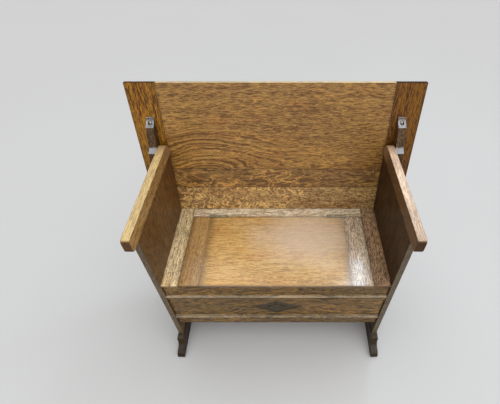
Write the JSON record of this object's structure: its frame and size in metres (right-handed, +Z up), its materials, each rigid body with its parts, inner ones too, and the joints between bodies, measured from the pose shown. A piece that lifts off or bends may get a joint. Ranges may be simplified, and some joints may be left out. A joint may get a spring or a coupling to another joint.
{
  "type": "monk's bench",
  "caption": "Oak settle with a hinged-lid box seat and plank ends; its leaning back is a table top that slides up and tilts down over the arms.",
  "frame": {"origin": "on the floor, under the middle of the bench's overall length and depth", "axes": "+X along the bench to the viewer's right as one faces it, +Y towards the leaning back, +Z up"},
  "size_m": [0.99, 0.5442, 0.9402],
  "materials": {
    "panel_oak": "medium brown stained and varnished oak, grain upright",
    "arm_oak": "golden brown varnished oak, worn along the edges",
    "dark_oak": "dark brown stained and varnished oak",
    "apron_oak": "olive brown varnished oak, grain along the board",
    "carcass_oak": "unpolished oak inside and under the box",
    "seat_oak": "brown varnished oak",
    "lid_oak": "warm golden varnished oak, glossy, darker towards its edges",
    "top_oak": "medium brown varnished quartered and flat-sawn oak",
    "breadboard_oak": "darker brown varnished oak",
    "hinge_brass": "tarnished brass",
    "screw_steel": "dull steel"
  },
  "bodies": {
    "base": {"left_end_panel": "panel_oak", "right_end_panel": "panel_oak", "left_arm": "arm_oak", "right_arm": "arm_oak", "left_foot": "dark_oak", "right_foot": "dark_oak", "front_apron": "apron_oak", "box_back_board": "carcass_oak", "box_bottom_board": "carcass_oak", "left_bottom_batten": "carcass_oak", "right_bottom_batten": "carcass_oak", "left_seat_strip": "seat_oak", "right_seat_strip": "seat_oak", "seat_rear_rail": "seat_oak", "left_hinge_fixed_leaf": "hinge_brass", "right_hinge_fixed_leaf": "hinge_brass", "left_hinge_pin": "hinge_brass", "right_hinge_pin": "hinge_brass"},
    "lid": {"lid_panel": "lid_oak", "lid_left_cleat": "lid_oak", "lid_right_cleat": "lid_oak", "left_hinge_lid_leaf": "hinge_brass", "right_hinge_lid_leaf": "hinge_brass"},
    "pivot_pegs": {"left_pivot_peg": "dark_oak", "right_pivot_peg": "dark_oak"},
    "table_top": {"top_lower_plank": "top_oak", "top_middle_plank": "top_oak", "top_upper_plank": "top_oak", "top_left_breadboard": "breadboard_oak", "top_right_breadboard": "breadboard_oak", "left_bearer": "dark_oak", "right_bearer": "dark_oak", "left_bearer_screws": "screw_steel", "right_bearer_screws": "screw_steel"}
  },
  "joints": [
    {"name": "lid_hinge", "type": "hinge", "parent": "base", "child": "lid", "pos_m": [0, 0.1195, 0.448], "axis": [-1, 0, 0], "range_deg": [0, 65]},
    {"name": "top_tilt", "type": "hinge", "parent": "base", "child": "pivot_pegs", "pos_m": [0, 0.17644, 0.708], "axis": [-1, 0, 0], "range_deg": [-100.5, 0]},
    {"name": "top_slide", "type": "slide", "parent": "pivot_pegs", "child": "table_top", "axis": [0, -0.1822, -0.9833], "range_m": [-0.264, 0]}
  ]
}
